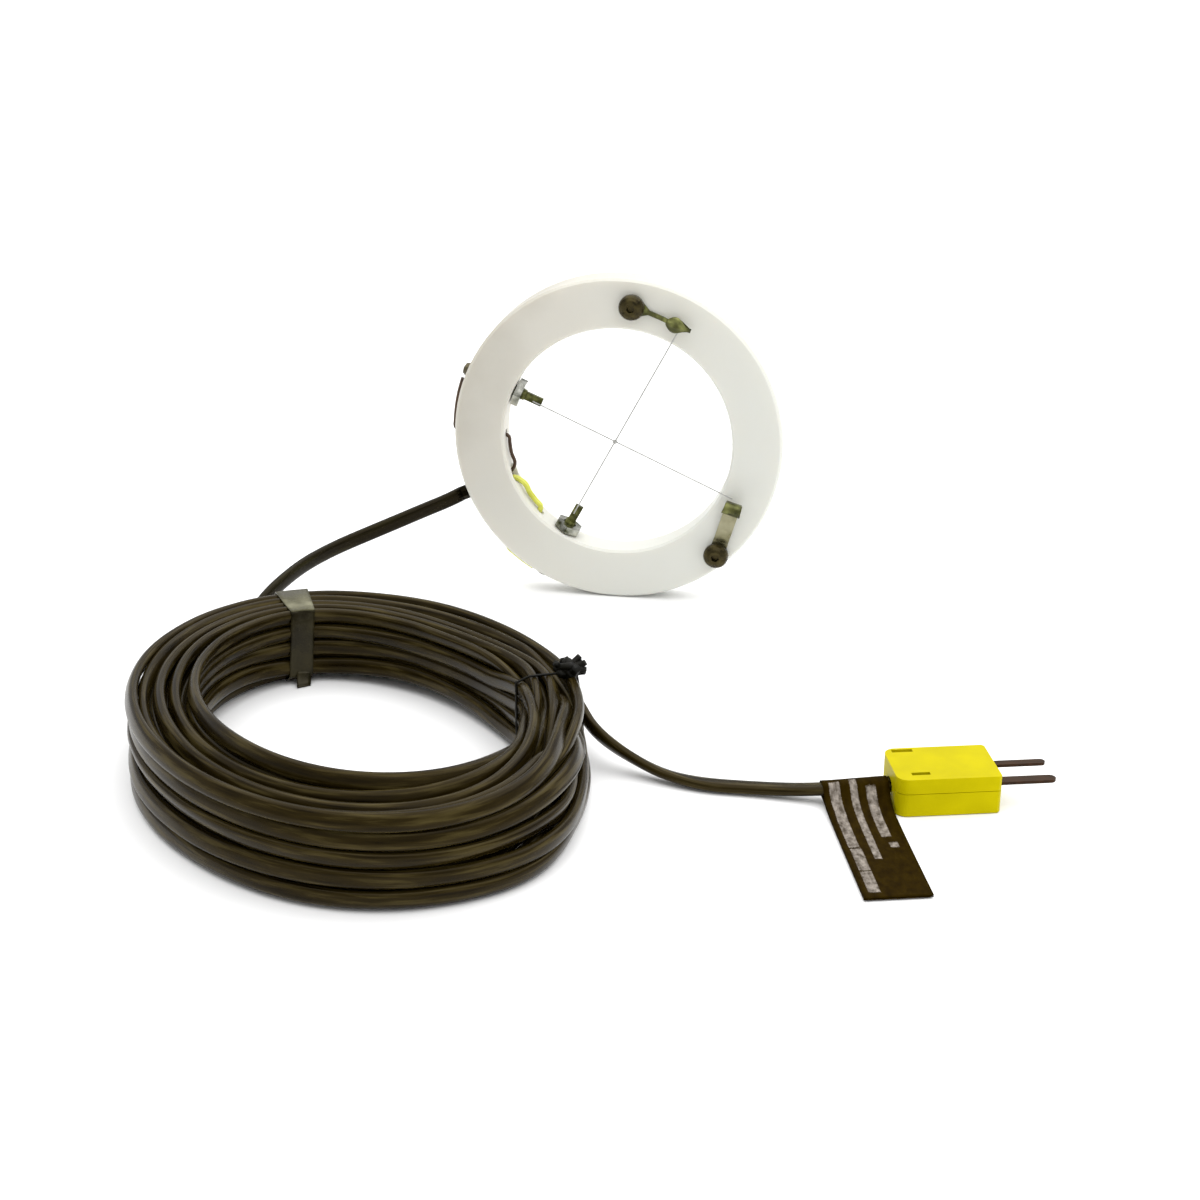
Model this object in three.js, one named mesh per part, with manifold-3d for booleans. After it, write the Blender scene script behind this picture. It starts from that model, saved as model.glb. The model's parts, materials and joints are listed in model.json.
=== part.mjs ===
// Cross-wire air-stream thermocouple: a plastic ring with two fine thermoelement wires welded where they
// cross, a flat twin extension cable wound in a tied coil, and a flat-pin miniature connector.
// Millimetres, +Z up. The ring stands on its rim: its axis runs along Y and its open face looks along -Y.
// The origin is on the surface that it stands on, under the middle of the ring with all it carries.
import * as THREE from 'three';
import { mergeVertices } from 'three/addons/utils/BufferGeometryUtils.js';
import Module from 'manifold-3d';

const wasm = await Module();
wasm.setup();

// ---------------------------------------------------------------- driving dimensions
const GAP = 0.3;                      // left between pieces that touch on the real object
const FINE_GAP = 0.12;                // the same, between the finest pieces

const SHIFT = [-0.45, 1.85, 0];        // from the datum that all places below count from, to the origin
const RING_X = 1.1;                   // the ring's centre is this far to the right of the datum
const RING_R = 43.5;                  // outer radius; the ring's centre is this high above the floor
const RING_BORE_R = 30.4;
const RING_HALF_W = 4.3;
const RING_EDGE = 0.6;                // chamfer on its four edges
const RING_SEGMENTS = 96;

const NEG_POST_ANGLE = 157.3;         // degrees round the ring, from +X towards +Z
const POS_POST_ANGLE = 241.7;
const STUD_R = 1.5;
const STUD_OUTER = 43.2;              // stud and tongue: distances from the ring's centre
const STUD_INNER = 27.1;
const TONGUE_TIP = 22.3;
const TONGUE_WIDTH = 2.2;
const TONGUE_THICK = 1.0;
const NUT_ACROSS = 6.6;
const NUT_INNER = 28.0;
const NUT_OUTER = 29.95;
const SOLDER_R = 1.9;
const SOLDER_H = 1.3;

const CROSSING = new THREE.Vector3(0.53, -3.2, 43.34);   // where the two fine wires are welded
const WIRE_R = 0.18;
const WIRE_SPREAD = 0.23;             // each wire's centre line passes this far from the crossing, along Y
const BEAD_R = 0.6;
const NEG_WIRE = { angle: -22.5, back: 24.2, ahead: 34.2, yBack: -0.8, yAhead: -6.4 };
const POS_WIRE = { angle: 61.8, back: 24.3, ahead: 36.6, yBack: -1.1, yAhead: -6.35 };

const SPRING_THICK = 0.4;
const SPRING_TOP = { angle: 83.8, radius: 36.8, heading: -18.4, length: 16 };
const SPRING_RIGHT = { angle: -47.6, radius: 40, heading: 73, length: 16.2 };
const SPRING_HALF_W = 2.0;
const SPRING_NECK = 0.6;              // half width of the top spring's neck
const LEAF = 6.2;                     // length of the top spring's leaf-shaped tip
const SPRING_HOLE_R = STUD_R + GAP;
const HEAD_R = 3.3;                   // tension screw's round head
const HEAD_H = 3.0;
const HEAD_SHANK = 6.2;
const SOCKET = { radius: 1.1, depth: 1.2 };

const CABLE_W = 4.0;                  // flat twin cable
const CABLE_T = 2.4;
const CORE_R = { negative: 0.5, positive: 0.75 };        // insulated conductors
const CORE_HOLE_R = 1.2;
const CABLE_HOLE_R = 2.8;
const ENTRY = new THREE.Vector3(-40.5, 0, 26.2);         // where the cable meets the ring's outer wall
const ENTRY_SLOPE = 24;               // degrees, rising into the ring
const JACKET_REACH = 12.2;            // how far along the entry hole the jacket reaches
const NEG_CORE_HOLE = 180.5;          // degrees round the ring: holes that take each conductor outside
const POS_CORE_HOLE = 225.5;

const COIL = {
  x: -39.5, y: -115.9, a: 48.5, b: 64.3, turn: 32.6, width: 16, near: 23.5, far: 18.5, floor: 1.3,
};
const TAPE_TIE = { at: 87, width: 7.5 };                 // degrees round the coil's oval
const WIRE_TIE = { at: -11, width: 2.6 };

const CONN = { x: 79.15, y: -119.0, yaw: 14.6, length: 22.5, width: 15.4, height: 8.6, split: 5.1 };
const CONN_WALL = 1.6;
const SEAM = 0.12;                    // gap between the two shells
const PIN_Z = 5.6;
const PIN_THICK = 0.7;
const PIN_REACH = 12.8;
const PIN_ROOT = 1.8;                 // half width of a pin under its terminal screw
const PIN_ROWS = { negative: { y: 3.75, blade: 2.6 }, positive: { y: 11.65, blade: 2.0 } };
const TERMINAL_X = 16.4;              // terminal screws, from the cable end
const CABLE_ENTRY_Z = 4.0;
const TAIL_R = 0.65;                  // insulated conductors inside the connector
const BOSS = { x: 9.2, lower: 3.5, upper: 2.6 };         // cover screw's bosses: in the base, in the cover

const LABEL = { x: 69.8, y: -112.9, yaw: 14.8, width: 14, reach: 41.8, thick: 0.4 };

// The cable's route where it isn't coiled: from the ring to the coil, and from the coil to the connector.
const ROUTE_RING = [
  [-42.9, -0.4, 25.0], [-46.0, -2.4, 23.8], [-50.2, -6.4, 22.8], [-56.0, -12.0, 21.3], [-63.6, -18.6, 19.2],
  [-70.2, -25.8, 17.6], [-75.4, -35.2, 16.4], [-78.6, -44.0, 15.0], [-80.6, -51.5, 12.8], [-81.2, -57.5, 10.2],
];
const ROUTE_CONNECTOR = [
  [10.2, -100.0, 7.4], [13.9, -103.7, 6.0], [17.9, -106.0, 4.5], [22.6, -108.1, 3.0], [27.8, -110.3, 1.9],
  [33.6, -112.0, 1.4], [39.4, -113.0, 1.3], [47.6, -113.0, 1.35], [56.2, -113.5, 1.9], [63.6, -114.0, 2.9],
  [70.4, -112.9, 3.5], [76.6, -111.7, 4.0],
];

// ---------------------------------------------------------------- materials
const material = (color, roughness, metalness) => (
  new THREE.MeshStandardMaterial({ color, roughness, metalness }));
const nylon = material(0xd9d5cb, 0.5, 0);
const brass = material(0x7d7238, 0.4, 0.9);
const dullBrass = material(0x4d4526, 0.5, 0.9);
const nickel = material(0xa9ab9f, 0.3, 1);
const alloyWire = material(0x8e8e8a, 0.35, 1);
const solder = material(0x4a4838, 0.45, 0.9);
const brownInsulation = material(0x4b2a18, 0.5, 0);
const yellowInsulation = material(0xc9b81e, 0.5, 0);
const cableJacket = material(0x453c28, 0.45, 0);
const tape = material(0x5c5947, 0.35, 0);
const blackPlastic = material(0x14120f, 0.5, 0);
const labelFilm = material(0x1f140d, 0.4, 0);
const yellowNylon = material(0xe0d30a, 0.45, 0);
const darkAlloy = material(0x3a2a20, 0.4, 1);

// ---------------------------------------------------------------- helpers
const model = new THREE.Group();
model.position.set(...SHIFT);
const rad = THREE.MathUtils.degToRad;

function toSolid(geometry) {
  const bare = geometry.clone();
  bare.deleteAttribute('normal');
  bare.deleteAttribute('uv');
  const merged = mergeVertices(bare, 1e-4);
  const vertProperties = Float32Array.from(merged.attributes.position.array);
  const triVerts = Uint32Array.from(merged.index.array);
  return new wasm.Manifold(new wasm.Mesh({ numProp: 3, vertProperties, triVerts }));
}

function toGeometry(solid) {
  const mesh = solid.getMesh();
  const geometry = new THREE.BufferGeometry();
  geometry.setAttribute('position', new THREE.BufferAttribute(mesh.vertProperties, mesh.numProp));
  geometry.setIndex(new THREE.BufferAttribute(mesh.triVerts, 1));
  return geometry;
}

const cut = (geometry, tools) => (
  toGeometry(tools.reduce((solid, tool) => solid.subtract(toSolid(tool)), toSolid(geometry))));
const join = (geometry, others) => (
  toGeometry(others.reduce((solid, other) => solid.add(toSolid(other)), toSolid(geometry))));
const common = (first, second) => toGeometry(toSolid(first).intersect(toSolid(second)));

function add(name, geometry, look, parent = model) {
  const mesh = new THREE.Mesh(geometry, look);
  mesh.name = name;
  parent.add(mesh);
  return mesh;
}

// Round bar along +Z from z0 to z1.
function rod(radius, z0, z1, sides = 16) {
  const bar = new THREE.CylinderGeometry(radius, radius, z1 - z0, sides);
  return bar.rotateX(Math.PI / 2).translate(0, 0, (z0 + z1) / 2);
}

function block(x0, x1, y0, y1, z0, z1) {
  const box = new THREE.BoxGeometry(x1 - x0, y1 - y0, z1 - z0);
  return box.translate((x0 + x1) / 2, (y0 + y1) / 2, (z0 + z1) / 2);
}

function plate(shape, z0, z1, curveSegments = 6) {
  const slab = new THREE.ExtrudeGeometry(shape, { depth: z1 - z0, bevelEnabled: false, curveSegments });
  return slab.translate(0, 0, z0);
}

// Solid of revolution about +Z from [radius, height] pairs.
function turned(profile, segments = 24) {
  const points = profile.map(([r, h]) => new THREE.Vector2(r, h));
  return new THREE.LatheGeometry(points, segments).rotateX(Math.PI / 2);
}

function sweep(shape, curve, steps) {
  return new THREE.ExtrudeGeometry(shape, { steps, extrudePath: curve, curveSegments: 2 });
}

function ellipse(halfX, halfY, sides = 8) {
  const corners = [];
  for (let i = 0; i < sides; i += 1) {
    const turn = (i + 0.5) * 2 * Math.PI / sides;
    corners.push(new THREE.Vector2(halfX * Math.cos(turn), halfY * Math.sin(turn)));
  }
  return new THREE.Shape(corners);
}

// Flat cable along a curve. Its wide side stands on edge, and lies down by the given share of a quarter
// turn over the first part of the curve.
function flatCable(curve, steps, layDown) {
  const sides = 8;
  const positions = [];
  const up = new THREE.Vector3(0, 0, 1);
  for (let i = 0; i <= steps; i += 1) {
    const centre = curve.getPointAt(i / steps);
    const along = curve.getTangentAt(i / steps);
    const side = along.clone().cross(up).normalize();
    const lift = side.clone().cross(along);
    const lean = layDown * Math.PI / 2 * THREE.MathUtils.smoothstep(i / steps, 0.05, 0.45);
    for (let j = 0; j < sides; j += 1) {
      const turn = (j + 0.5) * 2 * Math.PI / sides;
      const wide = CABLE_W / 2 * Math.cos(turn);
      const thin = CABLE_T / 2 * Math.sin(turn);
      const corner = centre.clone().addScaledVector(lift, wide * Math.cos(lean) - thin * Math.sin(lean));
      corner.addScaledVector(side, wide * Math.sin(lean) + thin * Math.cos(lean));
      positions.push(...corner.toArray());
    }
  }
  const faces = [];
  const last = steps * sides;
  for (let j = 0; j < sides; j += 1) {
    const next = (j + 1) % sides;
    for (let i = 0; i < steps; i += 1) {
      const row = i * sides;
      faces.push(row + j, row + next, row + sides + j, row + next, row + sides + next, row + sides + j);
    }
    if (j > 0 && next > 0) {
      faces.push(0, next, j, last, last + j, last + next);
    }
  }
  const geometry = new THREE.BufferGeometry();
  geometry.setAttribute('position', new THREE.Float32BufferAttribute(positions, 3));
  geometry.setIndex(faces);
  return geometry;
}

const curveThrough = (points) => new THREE.CatmullRomCurve3(points, false, 'centripetal');
const vectors = (rows) => rows.map(([x, y, z]) => new THREE.Vector3(x, y, z));

// A place on the ring: angle in degrees, distance from its centre, and y along its axis.
function onRing(angle, radius, y = 0) {
  return new THREE.Vector3(RING_X + radius * Math.cos(rad(angle)), y, RING_R + radius * Math.sin(rad(angle)));
}

// Local +Z points outwards along a radius of the ring and local +Y along the ring's axis.
function radialFrame(angle) {
  const out = new THREE.Vector3(Math.cos(rad(angle)), 0, Math.sin(rad(angle)));
  const axis = new THREE.Vector3(0, 1, 0);
  const frame = new THREE.Matrix4().makeBasis(axis.clone().cross(out), axis, out);
  return frame.setPosition(RING_X, 0, RING_R);
}

// Local +Z points away from the ring's open face and local +X along the heading, in degrees from +X.
function faceFrame(angle, radius, heading) {
  const along = new THREE.Vector3(Math.cos(rad(heading)), 0, Math.sin(rad(heading)));
  const out = new THREE.Vector3(0, -1, 0);
  const frame = new THREE.Matrix4().makeBasis(along, out.clone().cross(along), out);
  return frame.setPosition(onRing(angle, radius, -RING_HALF_W));
}

// ---------------------------------------------------------------- ring
function entryFrame() {
  const inwards = new THREE.Vector3(Math.cos(rad(ENTRY_SLOPE)), 0, Math.sin(rad(ENTRY_SLOPE)));
  const axis = new THREE.Vector3(0, 1, 0);
  return new THREE.Matrix4().makeBasis(axis.clone().cross(inwards), axis, inwards).setPosition(ENTRY);
}

function ringBody() {
  const profile = [
    [RING_BORE_R + RING_EDGE, -RING_HALF_W], [RING_R - RING_EDGE, -RING_HALF_W],
    [RING_R, RING_EDGE - RING_HALF_W], [RING_R, RING_HALF_W - RING_EDGE],
    [RING_R - RING_EDGE, RING_HALF_W], [RING_BORE_R + RING_EDGE, RING_HALF_W],
    [RING_BORE_R, RING_HALF_W - RING_EDGE], [RING_BORE_R, RING_EDGE - RING_HALF_W],
    [RING_BORE_R + RING_EDGE, -RING_HALF_W],
  ].map(([r, y]) => new THREE.Vector2(r, y));
  const body = new THREE.LatheGeometry(profile, RING_SEGMENTS).translate(RING_X, 0, RING_R);
  const throughWall = [RING_BORE_R - 5, RING_R + 5];
  const drills = [
    rod(STUD_R + GAP, ...throughWall).applyMatrix4(radialFrame(NEG_POST_ANGLE)),
    rod(STUD_R + GAP, ...throughWall).applyMatrix4(radialFrame(POS_POST_ANGLE)),
    rod(CORE_HOLE_R, ...throughWall, 12).applyMatrix4(radialFrame(NEG_CORE_HOLE)),
    rod(CORE_HOLE_R, ...throughWall, 12).applyMatrix4(radialFrame(POS_CORE_HOLE)),
    rod(CABLE_HOLE_R, -8, 18).applyMatrix4(entryFrame()),
  ];
  for (const spring of [SPRING_TOP, SPRING_RIGHT]) {
    const hole = rod(STUD_R + GAP, -HEAD_SHANK - 0.4, 3);
    drills.push(hole.applyMatrix4(faceFrame(spring.angle, spring.radius, spring.heading)));
  }
  add('ring_body', cut(body, drills), nylon);
}

// ---------------------------------------------------------------- terminal posts
function post(prefix, angle) {
  const frame = radialFrame(angle);
  const shank = rod(STUD_R, STUD_INNER, STUD_OUTER);
  const half = TONGUE_WIDTH / 2;
  const tongue = block(-half, half, -TONGUE_THICK / 2, TONGUE_THICK / 2, TONGUE_TIP, STUD_INNER + 1);
  add(`${prefix}_post`, join(shank, [tongue]).applyMatrix4(frame), brass);

  const corner = NUT_ACROSS / Math.sqrt(3);
  const nut = cut(rod(corner, NUT_INNER, NUT_OUTER, 6), [rod(STUD_R + GAP, NUT_INNER - 1, NUT_OUTER + 1)]);
  add(`${prefix}_post_nut`, nut.applyMatrix4(frame), nickel);

  const base = RING_R + GAP;
  const top = base + SOLDER_H;
  const dome = turned([[0, base], [SOLDER_R, base], [0.75 * SOLDER_R, top - 0.3 * SOLDER_H], [0, top]], 12);
  add(`${prefix}_solder_joint`, dome.applyMatrix4(frame), solder);
}

// ---------------------------------------------------------------- fine wires and their weld
function wireLine({ angle, back, ahead, yBack, yAhead }, side) {
  const along = new THREE.Vector3(Math.cos(rad(angle)), 0, Math.sin(rad(angle)));
  const middle = CROSSING.clone().setY(CROSSING.y + side * WIRE_SPREAD);
  const start = CROSSING.clone().addScaledVector(along, -back).setY(yBack);
  const end = CROSSING.clone().addScaledVector(along, ahead).setY(yAhead);
  return [start, middle, end];
}

function straightRod(from, to, radius, sides) {
  const bar = rod(radius, 0, from.distanceTo(to), sides);
  const turn = new THREE.Quaternion().setFromUnitVectors(
    new THREE.Vector3(0, 0, 1), to.clone().sub(from).normalize());
  return bar.applyQuaternion(turn).translate(from.x, from.y, from.z);
}

function fineWires() {
  const wires = [['negative_sensing_wire', NEG_WIRE, 1], ['positive_sensing_wire', POS_WIRE, -1]];
  const channels = [];
  for (const [name, wire, side] of wires) {
    const [start, middle, end] = wireLine(wire, side);
    add(name, sweep(ellipse(WIRE_R, WIRE_R, 6), curveThrough([start, middle, end]), 8), alloyWire);
    const reach = end.clone().sub(start).normalize().multiplyScalar(3);
    const channel = [middle.clone().sub(reach), middle.clone().add(reach)];
    channels.push(straightRod(...channel, WIRE_R + FINE_GAP / 2, 8));
  }
  const bead = new THREE.SphereGeometry(BEAD_R, 12, 8).translate(...CROSSING.toArray());
  add('junction_bead', cut(bead, channels), alloyWire);
}

// ---------------------------------------------------------------- tension springs and their screws
// Side view of a spring: flat under the screw, then bent away from the ring, with its tip nearly level.
function springProfile(length) {
  const bends = [[-3.1, 0], [3.8, 0], [7.5, 0.7], [12, 2.1], [length, 2.6]];
  const lower = bends.map(([u, w]) => new THREE.Vector2(u, w + GAP / 2));
  const upper = lower.map((p) => new THREE.Vector2(p.x, p.y + SPRING_THICK)).reverse();
  const slab = plate(new THREE.Shape([...lower, ...upper]), -4, 4);
  return slab.rotateX(Math.PI / 2);
}

function springOutline(length, neck) {
  const w = SPRING_HALF_W;
  const outline = new THREE.Shape();
  outline.absarc(0, 0, 3, rad(45), rad(315), false);
  outline.lineTo(4.6, -neck);
  if (neck < w) {
    outline.lineTo(length - LEAF, -neck);
    outline.lineTo(length - 0.6 * LEAF, -w);
    outline.lineTo(length, -0.4);
    outline.lineTo(length, 0.4);
    outline.lineTo(length - 0.6 * LEAF, w);
    outline.lineTo(length - LEAF, neck);
  } else {
    outline.lineTo(length, -neck);
    outline.lineTo(length, neck);
  }
  outline.lineTo(4.6, neck);
  outline.closePath();
  return outline;
}

function tensioner(prefix, place, neck) {
  const frame = faceFrame(place.angle, place.radius, place.heading);
  const strip = common(springProfile(place.length), plate(springOutline(place.length, neck), -1, 6));
  add(`${prefix}_tension_spring`, cut(strip, [rod(SPRING_HOLE_R, -1, 3)]).applyMatrix4(frame), brass);

  const seat = GAP / 2 + SPRING_THICK + GAP / 2;
  const top = seat + HEAD_H;
  const body = turned([
    [0, -HEAD_SHANK], [STUD_R, -HEAD_SHANK], [STUD_R, seat], [HEAD_R - 0.3, seat], [HEAD_R, seat + 0.3],
    [HEAD_R, top - 1.5], [HEAD_R - 0.35, top - 0.8], [HEAD_R - 1.1, top - 0.25], [0.5 * HEAD_R, top],
    [0, top],
  ]);
  const screw = cut(body, [rod(SOCKET.radius, top - SOCKET.depth, top + 1, 6)]);
  add(`${prefix}_tension_screw`, screw.applyMatrix4(frame), dullBrass);
}

// ---------------------------------------------------------------- cable end and conductors in the ring
function cableEnd() {
  const stub = plate(ellipse(CABLE_W / 2, CABLE_T / 2), -1.8, JACKET_REACH);
  add('cable_jacket_end', stub.applyMatrix4(entryFrame()), cableJacket);
}

// Route of one conductor: out of the jacket, along the bore, through its own hole in the ring and along
// the outside to its post. Side 1 runs upwards and side -1 downwards.
function conductorRoute(side, first, hole, postAngle, radius) {
  const start = new THREE.Vector3(-0.85 * side, 0, JACKET_REACH + GAP).applyMatrix4(entryFrame());
  const bend = new THREE.Vector3(-1.0 * side, 0, JACKET_REACH + 1.8).applyMatrix4(entryFrame());
  const inside = RING_BORE_R - GAP - radius;
  const outside = RING_R + GAP + radius;
  const points = [start, bend];
  const along = Math.abs(first - hole) - 5;
  const steps = Math.max(1, Math.round(along / 5));
  for (let i = 0; i <= steps; i += 1) {
    points.push(onRing(first - side * along * i / steps, inside - (i === 0 ? 0.2 : 0)));
  }
  points.push(onRing(hole + side * 1.6, inside + 0.1), onRing(hole, RING_BORE_R + 1.6));
  points.push(onRing(hole, RING_R - 1.4), onRing(hole - side * 1.6, outside - 0.05));
  const last = postAngle + side * 3.6;
  const left = Math.abs(hole - last) - 4;
  const turns = Math.max(2, Math.round(left / 6));
  for (let i = 0; i <= turns; i += 1) {
    points.push(onRing(hole - side * (4 + left * i / turns), outside));
  }
  return points;
}

function conductors() {
  const { negative, positive } = CORE_R;
  const up = curveThrough(conductorRoute(1, 196.9, NEG_CORE_HOLE, NEG_POST_ANGLE, negative));
  const down = curveThrough(conductorRoute(-1, 208.9, POS_CORE_HOLE, POS_POST_ANGLE, positive));
  add('negative_conductor', sweep(ellipse(negative, negative), up, 56), brownInsulation);
  add('positive_conductor', sweep(ellipse(positive, positive), down, 48), yellowInsulation);
}

// ---------------------------------------------------------------- coil and its ties
// The coil is an oval bundle: taller where it faces -Y, lower and tighter at the far side. Heights near
// COIL_TOP are counted down from the bundle's top, and all others up from its underside.
const COIL_TOP = 100;

function coilPoint(turn, inset, height) {
  const u = (COIL.a - inset) * Math.cos(turn);
  const v = (COIL.b - inset) * Math.sin(turn);
  const lean = rad(COIL.turn);
  const x = Math.cos(lean) * u - Math.sin(lean) * v;
  const y = Math.sin(lean) * u + Math.cos(lean) * v;
  const farness = 0.5 + 0.5 * y / Math.hypot(x, y);
  const top = COIL.near + (COIL.far - COIL.near) * farness;
  const z = height < COIL_TOP / 2 ? COIL.floor + height : top + height - COIL_TOP;
  return new THREE.Vector3(COIL.x + x, COIL.y + y, z);
}

function coilSolid(grow) {
  const low = -grow;
  const high = COIL_TOP + grow;
  const corner = 3;
  const section = [
    [-grow, low + corner], [-grow, high - corner], [corner - grow, high],
    [COIL.width - corner + grow, high], [COIL.width + grow, high - corner],
    [COIL.width + grow, low + corner], [COIL.width - corner + grow, low], [corner - grow, low],
    [-grow, low + corner],
  ];
  const far = 100;
  const ring = new THREE.LatheGeometry(section.map(([inset, h]) => new THREE.Vector2(far - inset, h)), 56);
  const place = ring.attributes.position;
  for (let i = 0; i < place.count; i += 1) {
    const turn = Math.atan2(place.getX(i), place.getZ(i));
    const inset = far - Math.hypot(place.getX(i), place.getZ(i));
    place.setXYZ(i, ...coilPoint(turn, inset, place.getY(i)).toArray());
  }
  return ring;
}

function tieBand(place, thick) {
  const turn = rad(place.at);
  const outer = coilPoint(turn, 0, 0);
  const inner = coilPoint(turn, COIL.width, 0);
  const heading = Math.atan2(outer.y - inner.y, outer.x - inner.x);
  const slice = block(-20, 20, -place.width / 2, place.width / 2, -5, 40);
  slice.rotateZ(heading).translate((outer.x + inner.x) / 2, (outer.y + inner.y) / 2, 0);
  const band = toSolid(coilSolid(GAP + thick)).intersect(toSolid(slice)).subtract(toSolid(coilSolid(GAP)));
  return { band: toGeometry(band), heading, outer, inner };
}

function coil() {
  add('cable_coil', coilSolid(0), cableJacket);

  const rear = tieBand(TAPE_TIE, 0.6);
  const tail = block(-0.8, 0.8, -2.4, 2.4, 0.7, 6).rotateZ(rear.heading);
  const inwards = new THREE.Vector3(Math.cos(rear.heading), Math.sin(rear.heading), 0);
  const tailAt = rear.inner.clone().addScaledVector(inwards, -1.4);
  add('coil_tape_tie', join(rear.band, [tail.translate(tailAt.x, tailAt.y, 0)]), tape);

  const right = tieBand(WIRE_TIE, 0.7);
  const out = new THREE.Vector3(Math.cos(right.heading), Math.sin(right.heading), 0);
  const knotAt = coilPoint(rad(WIRE_TIE.at), 2.5, COIL_TOP).addScaledVector(out, 0.5);
  const knot = new THREE.IcosahedronGeometry(2.9, 1).scale(1, 1.15, 0.8).rotateZ(right.heading);
  const wholeKnot = cut(knot.translate(knotAt.x, knotAt.y, knotAt.z + 1.1), [coilSolid(GAP)]);
  add('coil_wire_tie', join(right.band, [wholeKnot]), blackPlastic);
}

function freeCable() {
  add('cable_to_ring', flatCable(curveThrough(vectors(ROUTE_RING)), 22, 0), cableJacket);
  add('cable_to_connector', flatCable(curveThrough(vectors(ROUTE_CONNECTOR)), 26, 1), cableJacket);
}

// ---------------------------------------------------------------- label
// Side view, towards the viewer along +X: a loop round the cable, then two layers lying on the floor.
function flagLabel() {
  const t = LABEL.thick;
  const middle = 3.5;
  const inner = [3.45, 2.1];
  const loop = new THREE.Shape();
  loop.absellipse(0, middle, inner[0] + t, inner[1] + t, rad(-25), rad(262), false, 0);
  const lying = [[6, 0.6], [LABEL.reach, 0.15], [LABEL.reach, 0.15 + t], [6.5, 0.7 + 2 * t]];
  lying.forEach(([x, y]) => loop.lineTo(x, y));
  loop.closePath();
  const hole = new THREE.Path();
  hole.absellipse(0, middle, ...inner, 0, 2 * Math.PI, true, 0);
  loop.holes.push(hole);
  const half = LABEL.width / 2;
  const film = plate(loop, -half, half, 16);
  const toViewer = new THREE.Matrix4().makeBasis(
    new THREE.Vector3(0, -1, 0), new THREE.Vector3(0, 0, 1), new THREE.Vector3(-1, 0, 0));
  const mesh = add('flag_label', film.applyMatrix4(toViewer), labelFilm);
  mesh.position.set(LABEL.x, LABEL.y, 0);
  mesh.rotation.z = rad(LABEL.yaw);
}

// ---------------------------------------------------------------- connector
// Local frame: +X towards the pins, +Y across, +Z up, origin at the near bottom corner of the cable end.
const connector = new THREE.Group();
connector.position.set(CONN.x, CONN.y, 0);
connector.rotation.z = rad(CONN.yaw);
model.add(connector);

const acrossMiddle = CONN.width / 2;

function connectorOutline() {
  const { length, width } = CONN;
  const rear = 2.6;
  const front = 0.6;
  const outline = new THREE.Shape();
  outline.moveTo(rear, 0);
  outline.lineTo(length - front, 0);
  outline.lineTo(length, front);
  outline.lineTo(length, width - front);
  outline.lineTo(length - front, width);
  outline.lineTo(rear, width);
  outline.absarc(rear, width - rear, rear, rad(90), rad(180), false);
  outline.lineTo(0, rear);
  outline.absarc(rear, rear, rear, rad(180), rad(270), false);
  return outline;
}

function cableMouth() {
  const mouth = plate(ellipse(CABLE_T / 2 + 0.4, CABLE_W / 2 + 0.4, 12), -1, CONN_WALL + 1);
  mouth.rotateY(Math.PI / 2);
  return mouth.translate(0, acrossMiddle, CABLE_ENTRY_Z);
}

function bladeWindows(below, above) {
  return Object.values(PIN_ROWS).map(({ y, blade }) => {
    const half = blade / 2 + GAP;
    return block(TERMINAL_X + 2, CONN.length + 1, y - half, y + half, below, above);
  });
}

function connectorShells() {
  const inner = [CONN_WALL, CONN.width - CONN_WALL];
  const lowerTop = CONN.split;
  const bladeLow = PIN_Z - PIN_THICK / 2 - GAP;
  const bladeHigh = PIN_Z + PIN_THICK / 2 + GAP;
  const base = cut(plate(connectorOutline(), 0, lowerTop), [
    block(CONN_WALL, 13.2, ...inner, 1.5, lowerTop + 1),
    block(12.5, CONN.length - CONN_WALL, ...inner, bladeLow, lowerTop + 1),
    ...bladeWindows(bladeLow, lowerTop + 1),
    cableMouth(),
    ...Object.values(PIN_ROWS).map(({ y }) => rod(1.3, 1.2, lowerTop + 1, 12).translate(TERMINAL_X, y, 0)),
  ]);
  const boss = rod(BOSS.lower, 1, lowerTop, 20).translate(BOSS.x, acrossMiddle, 0);
  const bore = [rod(1.5, -1, 9, 12), rod(2.6, -1, 1.9)].map((g) => g.translate(BOSS.x, acrossMiddle, 0));
  add('connector_base', cut(join(base, [boss]), bore), yellowNylon, connector);

  const coverLow = lowerTop + SEAM;
  const roof = CONN.height - 1.1;
  const slot = block(3.5, 7.5, 2.3, 3.5, roof - 1, CONN.height + 1);
  const farSlot = block(1.7, 6.3, CONN.width - 2.0, CONN.width - 0.7, CONN.height - 1.2, CONN.height + 1);
  const cover = cut(plate(connectorOutline(), coverLow, CONN.height), [
    block(CONN_WALL, CONN.length - CONN_WALL, ...inner, coverLow - 1, roof),
    ...bladeWindows(coverLow - 1, bladeHigh), cableMouth(), slot, farSlot,
  ]);
  const post = rod(BOSS.upper, coverLow, roof + 0.5).translate(BOSS.x, acrossMiddle, 0);
  const thread = rod(1.4, coverLow - 1, roof, 12).translate(BOSS.x, acrossMiddle, 0);
  add('connector_cover', cut(join(cover, [post]), [thread]), yellowNylon, connector);
}

function coverScrew() {
  const body = turned([[0, 0.3], [2.3, 0.3], [2.3, 1.6], [1.1, 1.6], [1.1, 6.4], [0, 6.4]], 16);
  const slot = block(-1.6, 1.6, -0.35, 0.35, -1, 1.0);
  add('cover_screw', cut(body, [slot]).translate(BOSS.x, acrossMiddle, 0), nickel, connector);
}

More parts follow.
